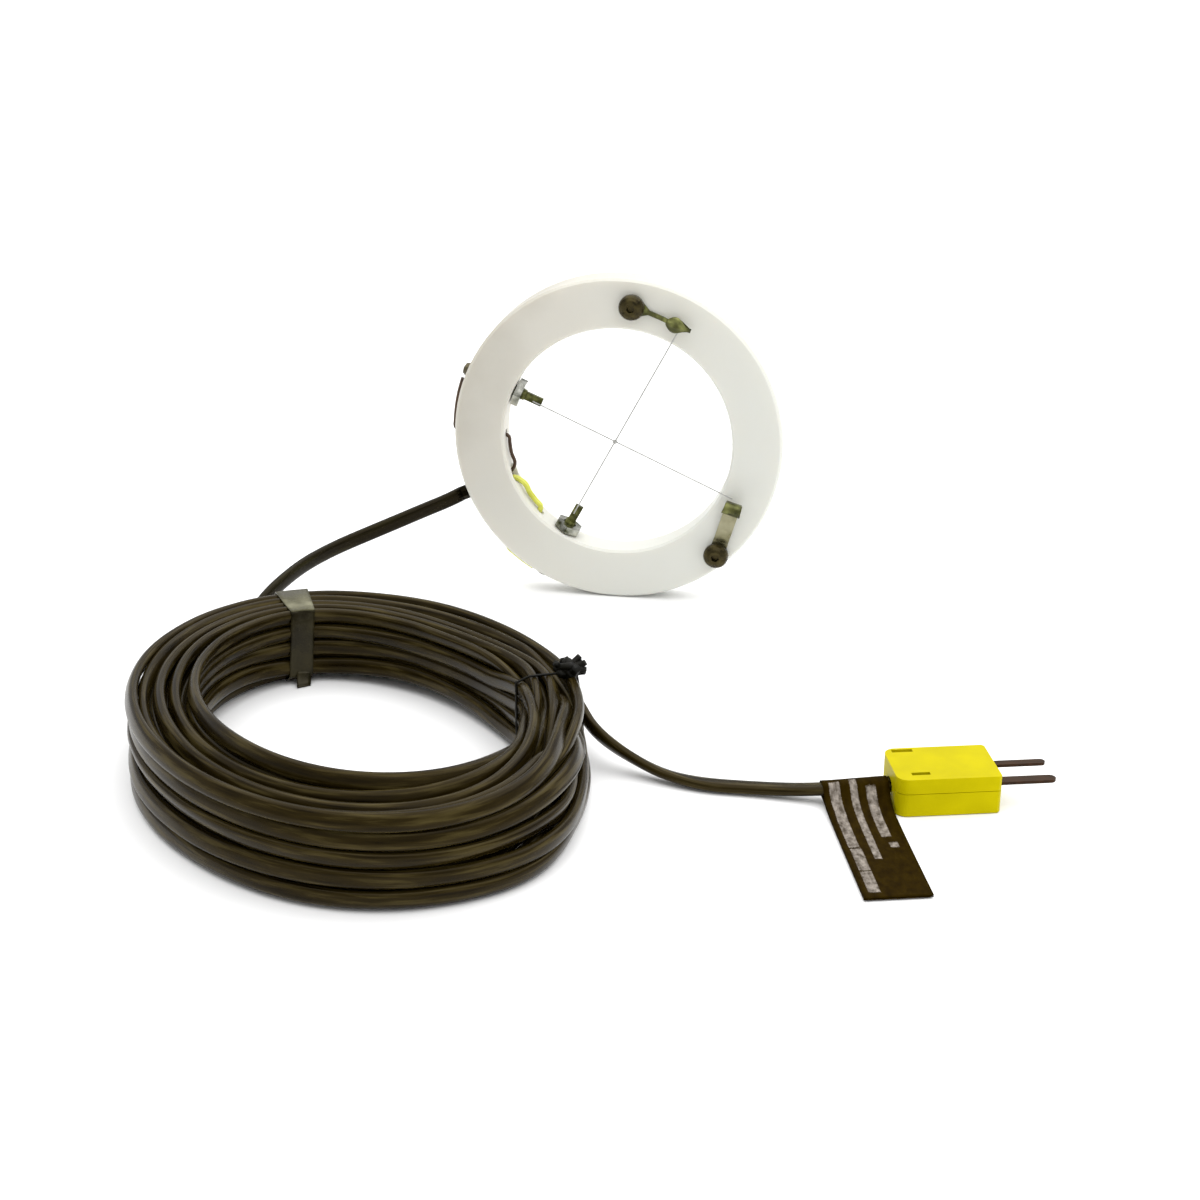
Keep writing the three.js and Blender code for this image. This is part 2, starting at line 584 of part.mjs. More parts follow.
function pinsAndTerminals() {
  const low = PIN_Z - PIN_THICK / 2;
  const high = PIN_Z + PIN_THICK / 2;
  const tip = CONN.length + PIN_REACH;
  for (const [name, { y, blade }] of Object.entries(PIN_ROWS)) {
    const half = blade / 2;
    const outline = new THREE.Shape();
    outline.moveTo(TERMINAL_X - 3, y - PIN_ROOT);
    outline.lineTo(TERMINAL_X + 1.6, y - PIN_ROOT);
    outline.lineTo(TERMINAL_X + 2.4, y - half);
    outline.lineTo(tip - half, y - half);
    outline.absarc(tip - half, y, half, rad(-90), rad(90), false);
    outline.lineTo(TERMINAL_X + 2.4, y + half);
    outline.lineTo(TERMINAL_X + 1.6, y + PIN_ROOT);
    outline.lineTo(TERMINAL_X - 3, y + PIN_ROOT);
    outline.closePath();
    const hole = rod(1.3, 0, 9, 12).translate(TERMINAL_X, y, 0);
    add(`${name}_pin`, cut(plate(outline, low, high, 4), [hole]), darkAlloy, connector);

    const seat = high + 0.15;
    const body = turned([[0, 2], [1, 2], [1, seat], [1.9, seat], [1.9, seat + 0.9], [0, seat + 0.9]], 16);
    const slot = block(-3, 3, -0.3, 0.3, seat + 0.4, seat + 3);
    const screw = cut(body, [slot]).translate(TERMINAL_X, y, 0);
    add(`${name}_terminal_screw`, screw, nickel, connector);
  }
}

// Insulated conductors inside the connector, from the cable's end to each terminal.
function tails() {
  const z = CABLE_ENTRY_Z;
  for (const [name, { y }] of Object.entries(PIN_ROWS)) {
    const side = Math.sign(y - acrossMiddle);
    const points = [
      [2.4, acrossMiddle + 0.9 * side, z], [3.6, acrossMiddle + 1.7 * side, z - 0.2],
      [5.6, acrossMiddle + 4.3 * side, 3.4], [8.4, acrossMiddle + 5.05 * side, 3.0],
      [10.8, acrossMiddle + 4.9 * side, 2.9], [12.6, y + 0.2 * side, 3.1],
    ];
    const look = name === 'positive' ? yellowInsulation : brownInsulation;
    add(`${name}_tail`, sweep(ellipse(TAIL_R, TAIL_R), curveThrough(vectors(points)), 14), look, connector);
  }
}

// ---------------------------------------------------------------- assembly
ringBody();
post('negative', NEG_POST_ANGLE);
post('positive', POS_POST_ANGLE);
fineWires();
tensioner('top', SPRING_TOP, SPRING_NECK);
tensioner('right', SPRING_RIGHT, SPRING_HALF_W);
cableEnd();
conductors();
coil();
freeCable();
flagLabel();
connectorShells();
coverScrew();
pinsAndTerminals();
tails();

const thermocouple = new THREE.Group();
thermocouple.add(model);

export default thermocouple;
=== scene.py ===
"""Looks for the cross-wire thermocouple: camera, cable, ties, label, springs, materials, floor and light."""

import json
import math

import bpy
import numpy as np
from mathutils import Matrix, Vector


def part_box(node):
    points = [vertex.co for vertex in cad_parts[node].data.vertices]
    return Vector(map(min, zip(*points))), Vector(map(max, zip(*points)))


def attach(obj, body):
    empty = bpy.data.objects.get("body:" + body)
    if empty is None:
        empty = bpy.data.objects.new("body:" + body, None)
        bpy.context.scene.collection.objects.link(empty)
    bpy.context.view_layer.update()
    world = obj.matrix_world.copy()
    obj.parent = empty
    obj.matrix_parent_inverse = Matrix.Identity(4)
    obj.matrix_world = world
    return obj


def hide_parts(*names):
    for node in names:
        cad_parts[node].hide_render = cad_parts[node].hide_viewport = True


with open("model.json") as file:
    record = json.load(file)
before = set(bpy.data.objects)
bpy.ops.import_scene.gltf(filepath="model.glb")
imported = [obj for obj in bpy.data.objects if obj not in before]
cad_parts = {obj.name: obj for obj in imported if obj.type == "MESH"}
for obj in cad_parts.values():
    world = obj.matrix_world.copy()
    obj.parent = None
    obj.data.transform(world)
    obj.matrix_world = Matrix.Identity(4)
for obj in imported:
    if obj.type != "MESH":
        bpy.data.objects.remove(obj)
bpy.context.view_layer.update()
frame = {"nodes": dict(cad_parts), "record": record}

# ---------------------------------------------------------------- places, in mm from the CAD's datum
RING_LOW, RING_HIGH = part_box("ring_body")
RING_X = 1.1                          # the ring's centre is this far to the right of the datum
BASE = Vector(((RING_LOW.x + RING_HIGH.x) / 2 - RING_X * 0.001, (RING_LOW.y + RING_HIGH.y) / 2, RING_LOW.z))

RING_R = 43.5
RING_HALF_W = 4.3
SPRING_TOP = {"angle": 83.8, "radius": 36.8, "heading": -18.4, "length": 16.0}
SPRING_RIGHT = {"angle": -47.6, "radius": 40.0, "heading": 73.0, "length": 16.2}

SOFT_EDGES = {"connector_base": 0.2, "connector_cover": 0.2, "ring_body": 0.25}

CAMERA_AT = (77.54, -500.57, 201.78)
CAMERA_AZIMUTH = 9.25
CAMERA_DOWN = 22.0
CAMERA_LENS = 60.0
SUN_STRENGTH = 3.3
SUN_WIDTH = 100.0                     # degrees, so that its shadows are soft
SUN_WAY = (-0.16, -0.12, -1)
SKY_STRENGTH = 0.7
FLOOR_HALF = 4.0                      # metres

CABLE_W = 4.0                         # its wide way
CABLE_T = 2.4                         # its thin way
CABLE_STEP = 2.0
CABLE_EXIT = (-42.0, -0.1, 25.5)
CABLE_LENGTH = 7.9                    # roughly, in metres, for where its colour changes

COIL = {"x": -39.5, "y": -115.9, "a": 48.5, "b": 64.3, "turn": 32.6, "width": 16.0}
COIL_NEAR_TOP = 23.8                  # the bundle's height at the near side
COIL_FAR_TOP = 18.5
COIL_FLOOR = 1.3
COIL_START = 8.0                      # degrees round the oval where the connector's end leaves the coil
COIL_START_HEIGHT = 11.6
COIL_START_INSET = -0.3
COIL_END = 70.0                       # and where the ring's end leaves it, some turns further round
COIL_END_HEIGHT = 3.4
COIL_END_INSET = -1.15
EASE_STEPS = 14                       # steps over which the ends come to their places in the coil
COIL_TURNS = 24
STEPS_PER_TURN = 120
COLUMNS = 5                           # turns side by side, from the outer one in
LAYERS = 5                            # and one above another
LAST_CELL = (0, 0)                    # column and layer of the turn that goes on to the ring
OUTSIDE = -0.73                       # the column, just outside the coil, along which it comes off
MARGIN = 1.3                          # from the bundle's sides to the middle of its outer turns
PINCH = 2.5                           # how much narrower the bundle is at its ties
WANDER = 1.5                          # how far the turns stray from their cells
COLUMN_SAG = (0.14, 0.22, 0.24, 0.12, 0.0)    # how much lower each column lies at the near side
LOBES = [(178, 18, 0.8), (294, 20, 2.6)]      # where low turns stick out: degrees, their reach, mm

OUTLINE_SIDES = 44                    # points round the bundle's section, for both ties
TAPE_AT = 87.0                        # degrees round the oval
TAPE_SPAN = 9.4                       # the tape's width, in degrees round the oval
TAPE_STATIONS = 9
TIE_AT = -11.0
TIE_WIRE_R = 0.3
TIE_TWISTS = 16

LABEL_COLUMNS = 15
LABEL_ROWS = 150
LABEL = {"x": 69.8, "y": -112.9, "yaw": 14.8, "width": 14.0, "reach": 41.8}
LABEL_BARS = [                        # left, right, start and stop, as shares of the film's width and length
    (0.09, 0.25, -0.02, 0.52), (0.10, 0.27, 0.535, 0.745), (0.10, 0.27, 0.755, 0.95),
    (0.40, 0.51, -0.03, 0.64), (0.64, 0.79, 0.03, 0.43), (0.71, 0.84, 0.49, 0.535),
]

ROUTE_RING = [
    CABLE_EXIT, (-42.9, -0.4, 25.0), (-46.0, -2.4, 23.8), (-50.2, -6.4, 22.8), (-56.0, -12.0, 21.3),
    (-63.6, -18.6, 19.2), (-70.2, -25.8, 17.6), (-75.4, -35.2, 16.4), (-78.6, -44.0, 15.0),
    (-80.9, -50.6, 13.2), (-82.3, -56.4, 11.0), (-80.9, -61.0, 8.2), (-77.4, -61.2, 5.8), (-73.1, -58.6, 4.3),
    (-67.0, -56.5, 3.6),
]
ROUTE_CONNECTOR = [
    (2.8, -88.9, 10.4), (6.9, -94.6, 8.9), (10.2, -100.0, 7.4), (13.9, -103.7, 6.0), (17.9, -106.0, 4.5),
    (22.6, -108.1, 3.0), (27.8, -110.3, 1.9), (33.6, -112.0, 1.4), (39.4, -113.0, 1.3), (47.6, -113.0, 1.35),
    (56.2, -113.5, 1.9), (63.6, -114.0, 2.9), (70.4, -112.9, 3.5), (76.6, -111.7, 4.0), (78.6, -111.2, 4.0),
]


def at(x, y, z):
    """One place in mm, from the datum, in metres in the model's frame."""
    return BASE + Vector((x, y, z)) * 0.001


def metres(points):
    """An array of points in mm, from the datum, in metres in the model's frame."""
    return np.array(BASE) + np.array(points, float) * 0.001


# ---------------------------------------------------------------- small tools for materials
def set_in(node, name, value):
    """Sets one of a node's inputs."""
    node.inputs[name].default_value = value


def new_material(name, color, roughness, metallic=0.0, **sockets):
    """A material with the given values, its node tree and its shader."""
    mat = bpy.data.materials.new(name)
    mat.use_nodes = True
    shader = mat.node_tree.nodes["Principled BSDF"]
    set_in(shader, "Base Color", (*color, 1))
    set_in(shader, "Roughness", roughness)
    set_in(shader, "Metallic", metallic)
    for socket, value in sockets.items():
        set_in(shader, socket.replace("_", " "), value)
    return mat, mat.node_tree, shader


def noise(tree, scale, detail=3.0, stretch=(1, 1, 1), space="Object"):
    """A noise that runs about 0.3 to 0.7."""
    nodes, links = tree.nodes, tree.links
    coords = nodes.new("ShaderNodeTexCoord")
    mapping = nodes.new("ShaderNodeMapping")
    set_in(mapping, "Scale", stretch)
    links.new(coords.outputs[space], mapping.inputs["Vector"])
    texture = nodes.new("ShaderNodeTexNoise")
    set_in(texture, "Scale", scale)
    set_in(texture, "Detail", detail)
    links.new(mapping.outputs["Vector"], texture.inputs["Vector"])
    return texture.outputs["Fac"]


def ramp(tree, factor, stops):
    """Colours by the factor, from stops of (place, colour)."""
    node = tree.nodes.new("ShaderNodeValToRGB")
    tree.links.new(factor, node.inputs["Fac"])
    elements = node.color_ramp.elements
    while len(elements) < len(stops):
        elements.new(0.5)
    for element, (place, color) in zip(elements, stops):
        element.position = place
        element.color = (*color, 1)
    return node.outputs["Color"]


def spread(tree, factor, low, high):
    """A noise's usual range, 0.3 to 0.7, stretched to low to high."""
    node = tree.nodes.new("ShaderNodeMapRange")
    tree.links.new(factor, node.inputs["Value"])
    set_in(node, "From Min", 0.3)
    set_in(node, "From Max", 0.7)
    set_in(node, "To Min", low)
    set_in(node, "To Max", high)
    return node.outputs["Result"]


def bump(tree, shader, height, strength, distance):
    """Roughens the surface by a height. The distance is in metres."""
    node = tree.nodes.new("ShaderNodeBump")
    set_in(node, "Strength", strength)
    set_in(node, "Distance", distance)
    tree.links.new(height, node.inputs["Height"])
    tree.links.new(node.outputs["Normal"], shader.inputs["Normal"])


def coordinate(tree, space, axis):
    """One axis of the surface's own coordinates: Object in metres, or UV."""
    coords = tree.nodes.new("ShaderNodeTexCoord")
    split = tree.nodes.new("ShaderNodeSeparateXYZ")
    tree.links.new(coords.outputs[space], split.inputs[0])
    return split.outputs[axis]


def combine(tree, operation, first, second):
    """A sum, product or other simple operation on two numbers or sockets."""
    node = tree.nodes.new("ShaderNodeMath")
    node.operation = operation
    for socket, value in zip(node.inputs, (first, second)):
        if isinstance(value, float):
            socket.default_value = value
        else:
            tree.links.new(value, socket)
    return node.outputs[0]


def between(tree, value, low, high):
    """1 where the value lies between low and high, and 0 elsewhere."""
    above = combine(tree, "GREATER_THAN", value, low)
    below = combine(tree, "LESS_THAN", value, high)
    return combine(tree, "MULTIPLY", above, below)


def mixed(tree, factor, first, second, blend="MIX"):
    """Two colours, blended by the factor."""
    node = tree.nodes.new("ShaderNodeMix")
    node.data_type = "RGBA"
    node.blend_type = blend
    if isinstance(factor, float):
        set_in(node, 0, factor)
    else:
        tree.links.new(factor, node.inputs[0])
    tree.links.new(first, node.inputs[6])
    tree.links.new(second, node.inputs[7])
    return node.outputs[2]


def mottled(name, colors, roughness, scale, metallic=0.0, grain=None, stretch=(1, 1, 1), space="Object",
            **sockets):
    """A material whose colour and roughness wander with a noise. Roughness is (low, high)."""
    mat, tree, shader = new_material(name, colors[0], roughness[0], metallic, **sockets)
    cloud = noise(tree, scale, 4.0, stretch, space)
    steps = [0.3 + 0.4 * i / (len(colors) - 1) for i in range(len(colors))]
    tree.links.new(ramp(tree, cloud, list(zip(steps, colors))), shader.inputs["Base Color"])
    tree.links.new(spread(tree, cloud, *roughness), shader.inputs["Roughness"])
    if grain:
        fine_scale, strength, distance = grain
        bump(tree, shader, noise(tree, fine_scale, 5.0), strength, distance)
    return mat


# ---------------------------------------------------------------- small tools for shapes
def mesh_object(name, verts, faces, mat, uvs=None):
    """A smooth-shaded object in the scene. There is one UV for each vertex."""
    mesh = bpy.data.meshes.new(name)
    mesh.from_pydata([tuple(v) for v in verts], [], faces)
    if uvs is not None:
        layer = mesh.uv_layers.new(name="UVMap")
        for loop in mesh.loops:
            layer.data[loop.index].uv = uvs[loop.vertex_index]
    mesh.polygons.foreach_set("use_smooth", [True] * len(mesh.polygons))
    mesh.update()
    piece = bpy.data.objects.new(name, mesh)
    bpy.context.scene.collection.objects.link(piece)
    piece.data.materials.append(mat)
    return piece


def catmull(points, per_span):
    """A smooth line through the points."""
    p = np.array(points, float)
    p = np.vstack([2 * p[0] - p[1], p, 2 * p[-1] - p[-2]])
    t = np.linspace(0, 1, per_span, endpoint=False)[:, None]
    out = []
    for i in range(1, len(p) - 2):
        a, b, c, d = p[i - 1:i + 3]
        square = 2 * a - 5 * b + 4 * c - d
        cube = 3 * b - a - 3 * c + d
        out.append(0.5 * (2 * b + (c - a) * t + square * t**2 + cube * t**3))
    return np.vstack([*out, p[-2:-1]])


def distances(line):
    """How far along the line each of its points is."""
    return np.concatenate([[0], np.cumsum(np.linalg.norm(np.diff(line, axis=0), axis=1))])


def evenly(line, step):
    """The same line with points about one step apart."""
    along = distances(line)
    marks = np.linspace(0, along[-1], max(2, int(round(along[-1] / step)) + 1))
    return np.stack([np.interp(marks, along, line[:, k]) for k in range(line.shape[1])], axis=1)


def directions(line):
    """The unit direction of a line at each of its points."""
    ahead = np.gradient(line, axis=0)
    return ahead / np.linalg.norm(ahead, axis=1)[:, None]


def tube_faces(count, sides):
    """Faces of a closed tube with so many rings of so many sides."""
    faces = []
    for i in range(count - 1):
        for j in range(sides):
            k = (j + 1) % sides
            faces.append((i * sides + j, i * sides + k, (i + 1) * sides + k, (i + 1) * sides + j))
    faces.append(tuple(range(sides - 1, -1, -1)))
    faces.append(tuple((count - 1) * sides + j for j in range(sides)))
    return faces


def grid_faces(rows, count):
    """Faces of a sheet with so many rows of so many points."""
    faces = []
    for i in range(rows - 1):
        for j in range(count - 1):
            corner = i * count + j
            faces.append((corner, corner + 1, corner + count + 1, corner + count))
    return faces


def thicken(piece, thickness, offset=-1.0):
    """Gives a sheet its thickness, in mm."""
    sheet = piece.modifiers.new("sheet", "SOLIDIFY")
    sheet.thickness = thickness * 0.001
    sheet.offset = offset


def smooth_step(x):
    """0 below 0, 1 above 1, and a smooth rise between."""
    x = np.clip(x, 0, 1)
    return x * x * (3 - 2 * x)


# ---------------------------------------------------------------- camera
def camera():
    """The camera fitted to the photo."""
    azimuth, down = math.radians(CAMERA_AZIMUTH), math.radians(CAMERA_DOWN)
    aim = Vector((-math.sin(azimuth) * math.cos(down), math.cos(azimuth) * math.cos(down), -math.sin(down)))
    data = bpy.data.cameras.new("camera")
    data.lens = CAMERA_LENS
    data.sensor_width = 36.0
    data.clip_start = 0.01
    eye = bpy.data.objects.new("camera", data)
    eye.location = at(*CAMERA_AT)
    eye.rotation_euler = aim.to_track_quat("-Z", "Y").to_euler()
    bpy.context.scene.collection.objects.link(eye)
    bpy.context.scene.camera = eye


# ---------------------------------------------------------------- the coil's turns
def oval(turn, inset):
    """Points of the coil's oval, moved in by inset, with turn in radians."""
    lean = math.radians(COIL["turn"])
    u = (COIL["a"] - inset) * np.cos(turn)
    v = (COIL["b"] - inset) * np.sin(turn)
    x = math.cos(lean) * u - math.sin(lean) * v
    y = math.sin(lean) * u + math.cos(lean) * v
    return COIL["x"] + x, COIL["y"] + y


def nearness(turn):
    """1 where the coil is nearest to the camera's side, and 0 where it is furthest."""
    x, y = oval(turn, 0)
    x, y = x - COIL["x"], y - COIL["y"]
    return 0.5 - 0.5 * y / np.hypot(x, y)


def near_angle(turn, middle, reach):
    """1 at the middle angle, falling to 0 on both sides. Middle and reach are in degrees."""
    away = np.degrees(np.abs(np.angle(np.exp(1j * (turn - math.radians(middle))))))
    return np.exp(-(away / reach) ** 2)


def squeeze(turn):
    """1 at the two ties, where the bundle is tight, and 0 away from them."""
    return np.maximum(near_angle(turn, TAPE_AT, 18.0), near_angle(turn, TIE_AT, 16.0))


def cell_order(rng):
    """The column and layer of every turn, from the connector's end to the ring's."""
    cells = []
    for layer in range(LAYERS):
        columns = range(COLUMNS) if layer % 2 else reversed(range(COLUMNS))
        cells += [(column, layer) for column in columns]
    rank = [abs(layer - 2.5) + 0.6 * column + rng.normal(0, 0.6) for column, layer in cells]
    order = [cells[i] for i in np.argsort(rank) if cells[i] != LAST_CELL]
    return np.array(order[:COIL_TURNS - 1] + [LAST_CELL, (OUTSIDE, LAST_CELL[1])])


def cells_along(order, lap):
    """Column and layer at every step. Each turn slides to the next cell over its last fifth."""
    which = np.clip(np.floor(lap).astype(int), 0, len(order) - 1)
    after = np.clip(which + 1, 0, len(order) - 1)
    blend = smooth_step((lap - np.floor(lap) - 0.8) / 0.2)[:, None]
    return (1 - blend) * order[which] + blend * order[after]


def wandering(rng, lap, turn):
    """How far every step strays from its cell, as (inset, height). Each turn has slow waves of its own."""
    wander = np.zeros((len(turn), 2))
    for waves in (1, 2, 3, 4):
        for lap_number in range(COIL_TURNS + 1):
            phase = rng.uniform(0, 2 * math.pi, 2)
            size = rng.normal(0, WANDER / waves, 2)
            share = np.clip(1 - np.abs(lap - lap_number - 0.5), 0, 1)
            wander += share[:, None] * size * np.sin(waves * turn[:, None] + phase)
    loose = 1 - 0.85 * squeeze(turn)
    return wander * loose[:, None]


def sticking_out(place, turn, top, width):
    """How far the low outer turns stick out of the bundle."""
    low = smooth_step(1.4 - place[:, 1] / (0.42 * top))
    outer = smooth_step(1.5 - place[:, 0] / (0.5 * width))
    return low * outer * sum(out * near_angle(turn, middle, reach) for middle, reach, out in LOBES)


def wind_coil():
    """Inset and height of the cable's middle at every step of its turns, packed so that no turns overlap."""
    rng = np.random.default_rng(7)
    total = COIL_TURNS * 2 * math.pi + math.radians(COIL_END - COIL_START)
    count = int(round(total / (2 * math.pi) * STEPS_PER_TURN)) + 1
    turn = math.radians(COIL_START) + np.linspace(0, total, count)
    lap = np.arange(count) / STEPS_PER_TURN
    near = nearness(turn)
    top = COIL_FAR_TOP + (COIL_NEAR_TOP - COIL_FAR_TOP) * near
    width = COIL["width"] - PINCH * squeeze(turn)
    inner_width = width - 2 * MARGIN

    column, layer = cells_along(cell_order(rng), lap).T
    sag = np.interp(column, range(COLUMNS), COLUMN_SAG) * smooth_step((near - 0.45) / 0.4)
    inset = MARGIN + column / (COLUMNS - 1) * inner_width
    height = COIL_FLOOR + CABLE_W / 2 + layer / (LAYERS - 1) * (top - COIL_FLOOR - CABLE_W) * (1 - sag)
    place = np.stack([inset, height], axis=1) + wandering(rng, lap, turn)
    leaving = lap > COIL_TURNS - 0.2
    edge = np.where(leaving, MARGIN + OUTSIDE * inner_width / (COLUMNS - 1), MARGIN)
    place = relax(place, edge, top, width)
    place[:, 0] -= sticking_out(place, turn, top, width)
    return place, turn


def relax(place, edge, top, width):
    """Pushes turns apart where they overlap, keeps them in the bundle and keeps each turn smooth."""
    size = np.array([CABLE_T + 0.15, CABLE_W + 0.1])
    lowest = COIL_FLOOR + 1.2
    laps = -(-len(place) // STEPS_PER_TURN)
    pad = np.full((laps * STEPS_PER_TURN - len(place), 2), np.nan)
    first, last = place[0].copy(), place[-1].copy()
    for _ in range(260):
        grid = np.vstack([place, pad]).reshape(laps, STEPS_PER_TURN, 2) / size
        apart = grid[:, None] - grid[None, :]
        far = np.linalg.norm(apart, axis=3)
        push = np.where((far < 1) & (far > 1e-6), (1 - far) / np.maximum(far, 1e-6), 0)[..., None] * apart
        move = np.nansum(push, axis=1).reshape(-1, 2)[:len(place)] * size
        place = place + 0.35 * move
        inset = np.maximum(edge, np.minimum(place[:, 0], width - MARGIN))
        height = np.maximum(lowest, np.minimum(place[:, 1], top - CABLE_W / 2))
        place = place + 0.5 * (np.stack([inset, height], axis=1) - place)
        middle = (place[:-2] + place[2:]) / 2
        place[1:-1] += 0.35 * (middle - place[1:-1])
        place[0], place[-1] = first, last
    place[:, 1] = np.maximum(place[:, 1], lowest)
    return place


# ---------------------------------------------------------------- cable
def cable_line():
    """The cable's centreline in mm, its wide side's lean from upright in degrees, and the coil's turns."""
    place, turn = wind_coil()
    head = smooth_step(np.arange(len(turn)) / EASE_STEPS)
    tail = smooth_step(np.arange(len(turn))[::-1] / EASE_STEPS)
    inset = place[:, 0] * head * tail + COIL_START_INSET * (1 - head) + COIL_END_INSET * (1 - tail)
    height = place[:, 1] * head * tail + COIL_START_HEIGHT * (1 - head) + COIL_END_HEIGHT * (1 - tail)
    x, y = oval(turn, inset)
    coil = np.stack([x, y, height], axis=1)[::-3]
    twist = np.cumsum(np.random.default_rng(3).normal(0, 0.2, len(coil)))
    lean = np.concatenate([
        np.zeros(len(ROUTE_RING)),
        26 * np.sin(twist),
        np.interp(np.arange(len(ROUTE_CONNECTOR)), [1, 8], [0, 90]),
    ])
    line = np.vstack([ROUTE_RING, coil, ROUTE_CONNECTOR])
    fine = evenly(catmull(np.column_stack([line, lean / 10]), 8), CABLE_STEP)
    for _ in range(2):
        fine[1:-1] += 0.5 * ((fine[:-2] + fine[2:]) / 2 - fine[1:-1])
    return fine[:, :3], fine[:, 3] * 10, place, turn


def cable_section(sides=16):
    """The cable's section with a faint waist between its two cores: (wide, thin) all round."""
    around = (np.arange(sides) + 0.5) * 2 * math.pi / sides
    wide = CABLE_W / 2 * np.sign(np.cos(around)) * np.abs(np.cos(around)) ** 0.8
    thin = CABLE_T / 2 * np.sign(np.sin(around)) * np.abs(np.sin(around)) ** 0.8
    waist = 1 - 0.05 * np.exp(-(wide / 0.5) ** 2)
    return wide, thin * waist


def tube(name, line, lean, mat):
    """A flat tube along the line, in mm, with UVs of (around, metres along), and its length in metres."""
    ahead = directions(line)
    side = np.cross(ahead, (0, 0, 1.0))
    side /= np.linalg.norm(side, axis=1)[:, None]
    lift = np.cross(side, ahead)
    turn = np.radians(lean)[:, None]
    wide_way = lift * np.cos(turn) + side * np.sin(turn)
    thin_way = side * np.cos(turn) - lift * np.sin(turn)
    wide, thin = cable_section()
    rings = line[:, None] + wide_way[:, None] * wide[None, :, None] + thin_way[:, None] * thin[None, :, None]
    count, sides = len(line), len(wide)
    along = distances(line) * 0.001
    uvs = [(j / sides, along[i]) for i in range(count) for j in range(sides)]
    return mesh_object(name, metres(rings.reshape(-1, 3)), tube_faces(count, sides), mat, uvs=uvs), along[-1]


def cable(mat):
    """The whole cable, from the ring through the coil to the connector."""
    line, lean, place, turn = cable_line()
    piece, length = tube("cable", line, lean, mat)
    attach(piece, "probe")
    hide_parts("cable_to_ring", "cable_coil", "cable_to_connector")
    return piece, line, length, place, turn


# ---------------------------------------------------------------- ties
def bundle_outline(place, turn, angle, grow):
    """The coil's tight outline at an angle in degrees: (inset, height) all round, moved out by grow."""
    laps = np.arange(math.ceil((turn[0] - math.radians(angle)) / (2 * math.pi)),
                     math.floor((turn[-1] - math.radians(angle)) / (2 * math.pi)) + 1)
    marks = laps * 2 * math.pi + math.radians(angle)
    spots = np.stack([np.interp(marks, turn, place[:, k]) for k in (0, 1)], axis=1)
    around = np.arange(OUTLINE_SIDES) * 2 * math.pi / OUTLINE_SIDES
    out = np.stack([np.cos(around), np.sin(around)], axis=1)
    half_cable = np.abs(out) @ (CABLE_T / 2 - 0.1, CABLE_W / 2 - 0.2)
    reach = (spots @ out.T).max(axis=0) + half_cable + grow
    slope = (np.roll(reach, -1) - np.roll(reach, 1)) / (2 * around[1])
    along = np.stack([-np.sin(around), np.cos(around)], axis=1)
    return out * reach[:, None] + along * slope[:, None]


def round_the_coil(outline, angle):
    """An outline's places in mm, where angle is round the oval in degrees."""
    x, y = oval(np.radians(angle), outline[:, 0])
    return np.stack([x, y, np.maximum(outline[:, 1], 0.25)], axis=1)


def closed_band(name, outer, inner, mat):
    """A band from stations of outer and inner loops, joined at both edges."""
    stations, sides = outer.shape[:2]
    verts = metres(np.concatenate([outer, inner]).reshape(-1, 3))
    half = stations * sides
    faces = []
    for j in range(sides):
        k = (j + 1) % sides
        for i in range(stations - 1):
            a, b = i * sides, (i + 1) * sides
            faces.append((a + j, b + j, b + k, a + k))
            faces.append((half + a + k, half + b + k, half + b + j, half + a + j))
        last = (stations - 1) * sides
        faces.append((k, half + k, half + j, j))
        faces.append((last + j, half + last + j, half + last + k, last + k))
    round_from_below = [(j + sides // 4) % sides / sides for j in range(sides)]
    uvs = [(share, i / stations) for _ in range(2) for i in range(stations) for share in round_from_below]
    return mesh_object(name, verts, faces, mat, uvs=uvs)


def tape_round(place, turn, mat):
    """Shiny tape wound round the bundle, slightly slanted and creased."""
    rng = np.random.default_rng(5)
    crease = rng.normal(0, 0.09, (TAPE_STATIONS, OUTLINE_SIDES))
    crease = crease + 0.12 * np.sin(np.arange(OUTLINE_SIDES) * 1.7)[None]
    loops = []
    for grow, crumpled in ((0.5, 0.25), (0.12, 0.0)):
        rows = []
        for i in range(TAPE_STATIONS):
            angle = TAPE_AT + (i / (TAPE_STATIONS - 1) - 0.5) * TAPE_SPAN
            outline = bundle_outline(place, turn, angle, grow) + crumpled * crease[i][:, None]
            slant = 0.6 - 1.2 * (outline[:, 1] - 9) / 9
            rows.append(round_the_coil(outline, angle + slant))
        loops.append(np.array(rows))
    return closed_band("tape_tie", *loops, mat)


def tape_end(place, turn, mat):
    """The tape's free end, hanging down inside the coil."""
    outline = bundle_outline(place, turn, TAPE_AT, 0.4)
    start = outline[np.argmax(outline[:, 0] - 0.8 * outline[:, 1])]
    steps = 7
    across = (-2.6, -1.3, 0, 1.3, 2.6)
    verts = []
    for i in range(steps):
        share = i / (steps - 1)
        inset = start[0] + 0.2 + 2.2 * share ** 1.5
        height = start[1] + 1.2 - 3.4 * share
        for aside in across:
            x, y = oval(math.radians(TAPE_AT + aside * 1.15 + 1.5 * share), inset + 0.12 * aside * share)
            verts.append((x, y, max(0.3, height + 0.1 * aside)))
    tail = mesh_object("tape_tail", metres(verts), grid_faces(steps, len(across)), mat)
    thicken(tail, 0.3)
    return tail


def tape_tie(place, turn, mat):
    """The tape's band and its free end."""
    band = tape_round(place, turn, mat)
    tail = tape_end(place, turn, mat)
    for piece in (band, tail):
        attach(piece, "probe")
    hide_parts("coil_tape_tie")
    return band, tail


